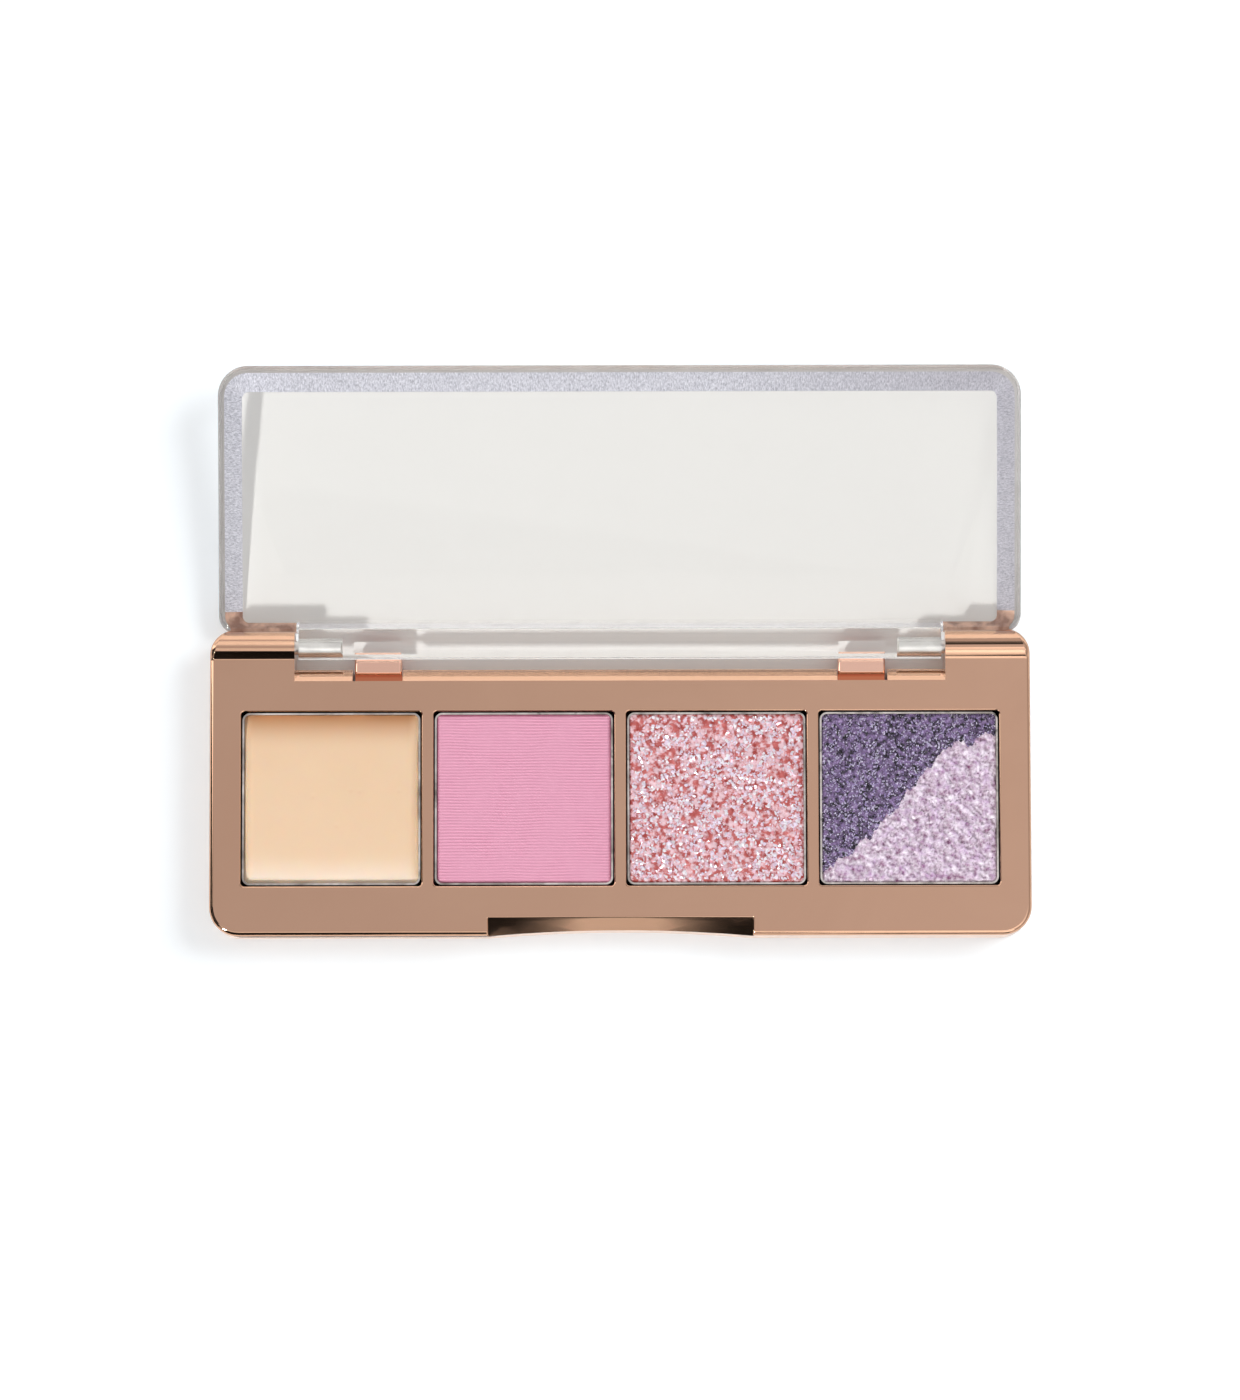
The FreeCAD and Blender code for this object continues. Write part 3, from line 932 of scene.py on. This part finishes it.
def lilac_pearl(grain, sparkle):
    """Pale lilac pearl powder, darker plum in its low places: partly its own plum specks, partly painted
    shade.
    """
    finish, tree, shader = new_finish("powder_lilac")
    lumps = use_group(tree, grain, Grain_Scale=5000.0, Mottle_Scale=1400.0)
    facet = use_group(tree, sparkle, Facet_Scale=5200.0, Tilt=0.8, Rarity=0.70)
    relief = add_node(tree, "Attribute", attribute_name="relief")
    # Partly speck colour, partly painted shade: darker plum the lower the relief
    depth = stretched(relief, "Fac", 0.34, 0.84)
    hollow_shade = blend_colours(depth, "Result", (0.19, 0.03, 0.13), (0.57, 0.36, 0.61))
    pale = colour_mix(tree, B=(0.98, 0.90, 0.99, 1))
    wire(lumps, "Mottle", pale, "Factor")
    wire(hollow_shade, "Result", pale, "A")
    wire(pale, "Result", shader, "Base Color")
    ramp_into(shader, "Metallic", facet, "Glint", 0.05, 0.5)
    ramp_into(shader, "Roughness", facet, "Tone", 0.5, 0.3)
    wire(facet, "Normal", shader, "Normal")
    return finish


def dress(names, finish):
    """Give a finish to CAD nodes."""
    for name in names:
        node = frame["nodes"][name]
        node.data.materials.clear()
        node.data.materials.append(finish)


def round_hinge(angle, radius):
    """Point at an angle in degrees and a radius round the hinge axis, at X = 0."""
    turn = math.radians(angle)
    return Vector((0, hinge_place.y + radius * math.cos(turn), hinge_place.z + radius * math.sin(turn)))


def lid_corner(right, behind, share):
    """Centre and radius of a corner of the lid's outline, a share of the way up the bevel."""
    radius = lid_rear_corner if behind else lid_front_corner
    radius += share * (lid_window_corner - radius)
    x = lid_half - share * lid_bevel - radius
    if behind:
        y = lid_rear - share * lid_rear_bevel - radius
    else:
        y = lid_front + share * lid_front_bevel + radius
    return Vector((x if right else -x, y, 0)), radius


def raise_bevel(slab, start, end):
    """Pull the top face of the slab up from one share of the bevel to the next, and draw it in."""
    pick_faces(slab, lambda face: face.normal.z > level_normal)
    rise = (end - start) * lid_bevel_height
    extrude(0, 0, rise)
    to_object()
    middle = (lid_front + lid_rear) / 2
    for corner in slab.data.vertices:
        if corner.select:
            place = corner.co
            old_centre, old_radius = lid_corner(place.x > 0, place.y > middle, start)
            new_centre, new_radius = lid_corner(place.x > 0, place.y > middle, end)
            outward = (place - old_centre) / old_radius
            place.x = new_centre.x + outward.x * new_radius
            place.y = new_centre.y + outward.y * new_radius


def lid_slab():
    """Slab of the lid: rounded corners, rounded inner edge and bevelled outer edges."""
    land = lid_outer - lid_bevel_height
    slab = solid_box("lid_moulding", (-lid_half, lid_front, lid_inner), (lid_half, lid_rear, land))
    upright = 0.5 * (land - lid_inner)
    near_front = lid_front + lid_near
    near_rear = lid_rear - lid_near
    round_edges(slab, lambda a, b: abs(a.z - b.z) > upright and a.y < near_front, lid_front_corner, 12)
    round_edges(slab, lambda a, b: abs(a.z - b.z) > upright and a.y > near_rear, lid_rear_corner, 10)
    raise_bevel(slab, 0.0, lid_rim_share)
    raise_bevel(slab, lid_rim_share, 1.0)
    under = lid_inner + lid_near
    round_edges(slab, lambda a, b: a.z < under and b.z < under, lid_edge_round, 6)
    top = lid_outer - lid_near
    round_edges(slab, lambda a, b: a.z > top and b.z > top, lid_crest, 2)
    side_cuts = [((side * (barrel_half + lid_end_gap), 0, 0), (1, 0, 0)) for side in (-1, 1)]
    for place, across in side_cuts + [((0, lid_rear - lid_reflection_reach, 0), (0, 1, 0))]:
        to_edit("FACE")
        bpy.ops.mesh.select_all(action="SELECT")
        bpy.ops.mesh.bisect(plane_co=place, plane_no=across)
        to_object()
    return slab


def lid_web():
    """Sloped web between the slab and the barrel."""
    section = [
        Vector((0, ramp_start, lid_inner + web_rise)),
        Vector((0, ramp_start, lid_inner)),
        round_hinge(web_under_angle, barrel_radius),
        round_hinge(web_over_angle, barrel_radius),
        Vector((0, lid_rear, lid_inner + web_rise)),
    ]
    deselect()
    bpy.ops.mesh.primitive_circle_add(vertices=len(section), radius=mm, fill_type="NGON")
    web = bpy.context.active_object
    web.name = "lid_web"
    for corner, place in zip(web.data.vertices, section):
        corner.co = place - Vector((barrel_half, 0, 0))
    pick_faces(web, lambda face: True)
    extrude(2 * barrel_half, 0, 0)
    turn_outward()
    return web


def lid_barrel():
    """Hinge barrel with a bore in each end."""
    deselect()
    bpy.ops.mesh.primitive_cylinder_add(
        vertices=96,
        radius=barrel_radius,
        depth=2 * barrel_half,
        location=(0, hinge_place.y, hinge_place.z),
        rotation=(0, math.pi / 2, 0),
    )
    barrel = bpy.context.active_object
    barrel.name = "lid_barrel"
    settle(barrel)
    for side in (-1, 1):
        pick_faces(barrel, lambda face: face.normal.x * side > level_normal)
        bpy.ops.mesh.inset(thickness=barrel_radius - bore_radius, depth=0)
        extrude(-side * bore_depth, 0, 0)
        to_object()
    return barrel


def make_lid(marks, grain):
    """Clear lid with its hinge barrel, folded back to the rest pose."""
    lid = lid_slab()
    combine(lid, lid_web(), "UNION")
    combine(lid, lid_barrel(), "UNION")
    flat_top = hinge_place.z - barrel_radius + flat_depth
    for side in (-1, 1):
        left = side * flat_place - flat_width / 2
        right = side * flat_place + flat_width / 2
        low = (left, hinge_place.y - barrel_radius, flat_top - 2 * barrel_radius)
        high = (right, hinge_place.y + barrel_radius, flat_top)
        combine(lid, solid_box("flat_cutter", low, high), "DIFFERENCE")
    lid.data.materials.clear()
    for finish in (clear_plastic(marks), satin_bevel(), painted_base_reflection(), painted_rim_shade(grain)):
        lid.data.materials.append(finish)
    rim = lid_outer - lid_bevel_height * (1 - lid_rim_share)
    for face in lid.data.polygons:
        face.material_index = 0
        if upright_normal < face.normal.z < level_normal and face.center.z > rim:
            behind = face.normal.y > upright_normal
            # The rear bevel beside the knuckles takes the painted reflection of the base, the other top
            # bevels the satin finish
            if abs(face.center.x) > barrel_half and (behind or face.center.y > lid_rear - lid_reflection_reach):
                face.material_index = 2
            elif not behind:
                face.material_index = 1
        # The outer rim near the sides and front takes the painted rim shade
        elif -upright_normal < face.normal.z < level_normal and lid_inner < face.center.z < rim:
            beside = abs(face.center.x) > lid_half - lid_rim_reach
            if beside or face.center.y < lid_front + lid_rim_reach:
                face.material_index = 3
    to_hinge = Matrix.Translation(hinge_place)
    lid.matrix_world = to_hinge @ Matrix.Rotation(-open_angle, 4, "X") @ to_hinge.inverted()
    settle(lid)
    smooth(lid, lid_smooth_angle)
    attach(lid, "lid")
    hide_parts("lid")


def ease(share):
    """Quarter wave from 0 to 1, steep at its start."""
    return math.sin(min(max(share, 0.0), 1.0) * math.pi / 2)


def waves(x, y, size, layer):
    """Smooth noise, about -0.5 to 0.5, with lumps of a given size."""
    return noise.noise(Vector((x / size, y / size, layer)))


def pan_plan(*nodes):
    """Box of the powder in one pan, from its CAD nodes."""
    boxes = [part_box(node) for node in nodes]
    low = Vector([min(box[0][axis] for box in boxes) for axis in range(3)])
    high = Vector([max(box[1][axis] for box in boxes) for axis in range(3)])
    return low, high


def plan_size(low, high):
    """Middle of a pan's plan, and half its size less the clearance of the cake."""
    return (low + high) / 2, (high - low) / 2 - Vector((cake_clearance, cake_clearance, 0))


def cake_sheet(name, low, high, grid, height_of):
    """Fine sheet over the plan of a pan, with rounded corners, raised by a height at each place."""
    middle, half = plan_size(low, high)
    deselect()
    bpy.ops.mesh.primitive_grid_add(x_subdivisions=grid[0], y_subdivisions=grid[1], size=1.0)
    cake = bpy.context.active_object
    cake.name = name
    cake.scale = (2 * half.x, 2 * half.y, 1)
    settle(cake)
    for corner in cake.data.vertices:
        u = max(abs(corner.co.x) - half.x + cake_corner, 0) / cake_corner
        v = max(abs(corner.co.y) - half.y + cake_corner, 0) / cake_corner
        if u > 0 and v > 0:
            pull_x = cake_corner * (u - u * math.sqrt(1 - v * v / 2))
            pull_y = cake_corner * (v - v * math.sqrt(1 - u * u / 2))
            corner.co.x -= math.copysign(pull_x, corner.co.x)
            corner.co.y -= math.copysign(pull_y, corner.co.y)
    heights = [height_of(corner.co.x, corner.co.y, half) for corner in cake.data.vertices]
    lowest = min(heights)
    span = max(heights) - lowest
    shares = [(height - lowest) / span for height in heights]
    group = cake.vertex_groups.new(name="relief")
    for corner, share in zip(cake.data.vertices, shares):
        group.add([corner.index], share, "REPLACE")
    push = cake.modifiers.new("raise", "DISPLACE")
    push.direction = "Z"
    push.mid_level = 0.0
    push.strength = span
    push.vertex_group = group.name
    apply_modifier(cake, push)
    cake.vertex_groups.clear()
    relief = cake.data.attributes.new("relief", "FLOAT", "POINT")
    relief.data.foreach_set("value", shares)
    cake.location = (middle.x, middle.y, lowest)
    settle(cake)
    return cake


def close_cake(cake, floor):
    """Pull the border of a raised sheet down to the floor of the pan and close it below."""
    take(cake)
    to_edit("EDGE")
    bpy.ops.mesh.select_all(action="DESELECT")
    bpy.ops.mesh.select_non_manifold()
    extrude(0, 0, -mm)
    bpy.ops.transform.resize(value=(1, 1, 0), center_override=(0, 0, floor))
    bpy.ops.mesh.edge_face_add()
    turn_outward()


def finish_cake(cake, node, finish):
    """Dress a cake and put it in the place of its CAD node."""
    cake.data.materials.clear()
    cake.data.materials.append(finish)
    smooth(cake, cake_smooth_angle)
    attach(cake, "base")
    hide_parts(node)


def border(x, y, half):
    """Distance in from the nearest side of a pan."""
    return min(half.x - abs(x), half.y - abs(y))


def make_cream(grain):
    """Cream pan: a soft pillow with rounded sides and a few pits."""
    low, high = pan_plan("shadow_cream")
    edge = high.z - cream_rise

    def height_of(x, y, half):
        end = cream_rear if y > 0 else cream_front
        sides = 1 - cream_side_drop * (1 - ease((half.x - abs(x)) / cream_side))
        pillow = sides * (1 - max(1 - (half.y - abs(y)) / end, 0.0) ** 3)
        crown = 1 - (y / half.y) ** 2
        height = edge + cream_rise * (0.84 * pillow + 0.14 * crown * pillow)
        height += cream_waver * waves(x, y, 3.5 * mm, 1.3)
        for place_x, place_y in cream_pits:
            away = math.hypot(x - place_x * mm, y - place_y * mm) / pit_radius
            height -= pit_depth * math.exp(-away * away)
        return height

    cake = cake_sheet("cream_cake", low, high, cream_grid, height_of)
    close_cake(cake, low.z)
    finish_cake(cake, "shadow_cream", cream_painted_slope_light(grain))


def make_pink(grain):
    """Matte pan: fine ribs from the pressing cloth, and a rounded border."""
    low, high = pan_plan("shadow_pink")

    def height_of(x, y, half):
        waver = rib_waver * waves(x, y, 4 * mm, 2.1)
        rib = math.sin(2 * math.pi * (y + waver) / rib_pitch)
        thread = math.sin(2 * math.pi * x / thread_pitch)
        press = 0.75 + 0.6 * waves(x, y, 3 * mm, 5.2)
        edge = ease(border(x, y, half) / pink_edge)
        return high.z - pink_drop * (1 - edge) + 0.5 * rib_height * press * edge * (rib + 0.7 * rib * thread)

    cake = cake_sheet("pink_cake", low, high, pink_grid, height_of)
    close_cake(cake, low.z)
    finish_cake(cake, "shadow_pink", pink_matte(grain))


def glitter_height(x, y, half, level):
    """Lumpy bed of the flakes."""
    lumps = 0.6 * waves(x, y, 1.1 * mm, 3.1) + 0.35 * waves(x, y, 0.45 * mm, 7.7)
    lumps += 0.2 * waves(x, y, 0.19 * mm, 9.4)
    edge = ease(border(x, y, half) / bed_edge)
    return level + edge * (bed_rise + bed_lumps * lumps) - bed_drop * (1 - edge)


def flake():
    """One thin uneven flake, a unit across."""
    deselect()
    bpy.ops.mesh.primitive_circle_add(vertices=6, radius=0.5, fill_type="NGON")
    piece = bpy.context.active_object
    piece.name = "flake"
    for corner, reach in zip(piece.data.vertices, (1.0, 0.78, 1.12, 0.86, 1.08, 0.72)):
        corner.co *= reach
    pick_faces(piece, lambda face: True)
    extrude(0, 0, 0.10)
    bpy.ops.transform.resize(value=(0.86, 0.86, 1))
    turn_outward()
    return piece


def make_flakes(low, high):
    """Flakes strewn over the lumps of the bed, each copy with its own size, lean and tone."""
    chance = random.Random(flake_seed)
    middle, half = plan_size(low, high)
    pattern = flake()
    copies = []
    while len(copies) < flake_count:
        x = chance.uniform(-1, 1) * (half.x - flake_margin)
        y = chance.uniform(-1, 1) * (half.y - flake_margin)
        patch = waves(x, y, 1.5 * mm, 21.5) + 0.6 * waves(x, y, 0.6 * mm, 33.1)
        if patch + chance.uniform(-0.25, 0.45) < 0:
            continue
        width = chance.uniform(0.18, 0.56) * mm
        lean_x, lean_y = chance.gauss(0, flake_lean), chance.gauss(0, flake_lean)
        lean = Euler((lean_x, lean_y, chance.uniform(0, 2 * math.pi)))
        level = glitter_height(x, y, half, high.z) + chance.uniform(-0.03, 0.05) * mm
        size = Matrix.Diagonal((width, width * chance.uniform(0.55, 1.0), flake_thickness, 1))
        place = Matrix.Translation((middle.x + x, middle.y + y, level)) @ lean.to_matrix().to_4x4() @ size
        copy = pattern.copy()
        copy.data = pattern.data.copy()
        copy.data.transform(place)
        tone = copy.data.attributes.new("tone", "FLOAT", "POINT")
        share = min(max(chance.gauss(flake_tone, flake_tone_spread), 0), 1)
        tone.data.foreach_set("value", [share] * len(copy.data.vertices))
        bpy.context.scene.collection.objects.link(copy)
        copies.append(copy)
    bpy.data.objects.remove(pattern)
    deselect()
    for copy in copies:
        copy.select_set(True)
    bpy.context.view_layer.objects.active = copies[0]
    bpy.ops.object.join()
    flakes = bpy.context.active_object
    flakes.name = "glitter_flakes"
    flakes.data.materials.append(flake_pearl())
    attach(flakes, "base")


def make_glitter(grain):
    """Flake pan: a coral bed and the flakes pressed in it."""
    low, high = pan_plan("shadow_glitter")

    def height_of(x, y, half):
        return glitter_height(x, y, half, high.z)

    cake = cake_sheet("glitter_bed", low, high, lump_grid, height_of)
    close_cake(cake, low.z)
    finish_cake(cake, "shadow_glitter", coral_bed(grain))
    make_flakes(low, high)


def duo_line(x, half):
    """Y of the ragged line between the two tones at a given X."""
    points = [(u * (half.x + duo_reach), v * (half.y + duo_reach)) for u, v in duo_shares]
    ragged = 1.2 * mm * waves(x, 0, 1.5 * mm, 40.2) + 0.6 * mm * waves(x, 0, 0.45 * mm, 47.9)
    for (x0, y0), (x1, y1) in zip(points, points[1:]):
        if x0 <= x <= x1:
            return y0 + (y1 - y0) * (x - x0) / (x1 - x0) + ragged
    return points[-1][1]


def make_duo(grain, sparkle):
    """Two-tone pan: one raised sheet, parted along the ragged line."""
    low, high = pan_plan("shadow_violet", "shadow_lilac")
    middle, half = plan_size(low, high)

    def height_of(x, y, half):
        edge = ease(border(x, y, half) / duo_edge)
        pale = ease((duo_line(x, half) - y) / duo_blend)
        fine = 0.09 * waves(x, y, 0.5 * mm, 11.0) + 0.10 * waves(x, y, 0.22 * mm, 13.0)
        clumps = 0.32 * waves(x, y, 0.9 * mm, 15.0) + 0.24 * waves(x, y, 0.35 * mm, 17.0)
        height = (1 - pale) * fine + pale * (clumps + 0.06)
        return high.z - duo_sink + edge * (duo_rise + height * mm) - duo_drop * (1 - edge)

    violet = cake_sheet("violet_cake", low, high, lump_grid, height_of)
    pick_faces(violet, lambda face: face.center.y - middle.y < duo_line(face.center.x - middle.x, half))
    bpy.ops.mesh.separate(type="SELECTED")
    to_object()
    lilac = [piece for piece in bpy.context.selected_objects if piece != violet][0]
    lilac.name = "lilac_cake"
    close_cake(violet, low.z)
    close_cake(lilac, low.z)
    finish_cake(violet, "shadow_violet", violet_sparkle(grain, sparkle))
    finish_cake(lilac, "shadow_lilac", lilac_pearl(grain, sparkle))


bpy.context.scene.view_settings.view_transform = "Standard"
set_camera()
set_world()
set_table()
set_lamps(set_floor())
set_cards()

marks = handling_marks()
grain = pressed_grain()
sparkle = pearl_sparkle()

make_lid(marks, grain)
make_cream(grain)
make_pink(grain)
make_glitter(grain)
make_duo(grain, sparkle)

dress(["base_frame"], rose_gold(marks))
dress(["bottom_plate"], plate_moulding(grain))
pin_steel = bright_metal("pin_steel", marks, (0.74, 0.72, 0.70), (0.52, 0.50, 0.49), 0.30, 0.45, 0.003 * mm)
dress(["hinge_pin_left", "hinge_pin_right"], pin_steel)
pan_tin = bright_metal("pan_metal", marks, (0.88, 0.82, 0.76), (0.26, 0.22, 0.19), 0.12, 0.25, 0.06 * mm)
dress(["pan_cream", "pan_pink", "pan_glitter", "pan_duo"], pan_tin)
dress(["pan_glue_cream", "pan_glue_pink", "pan_glue_glitter", "pan_glue_duo"], adhesive(grain))
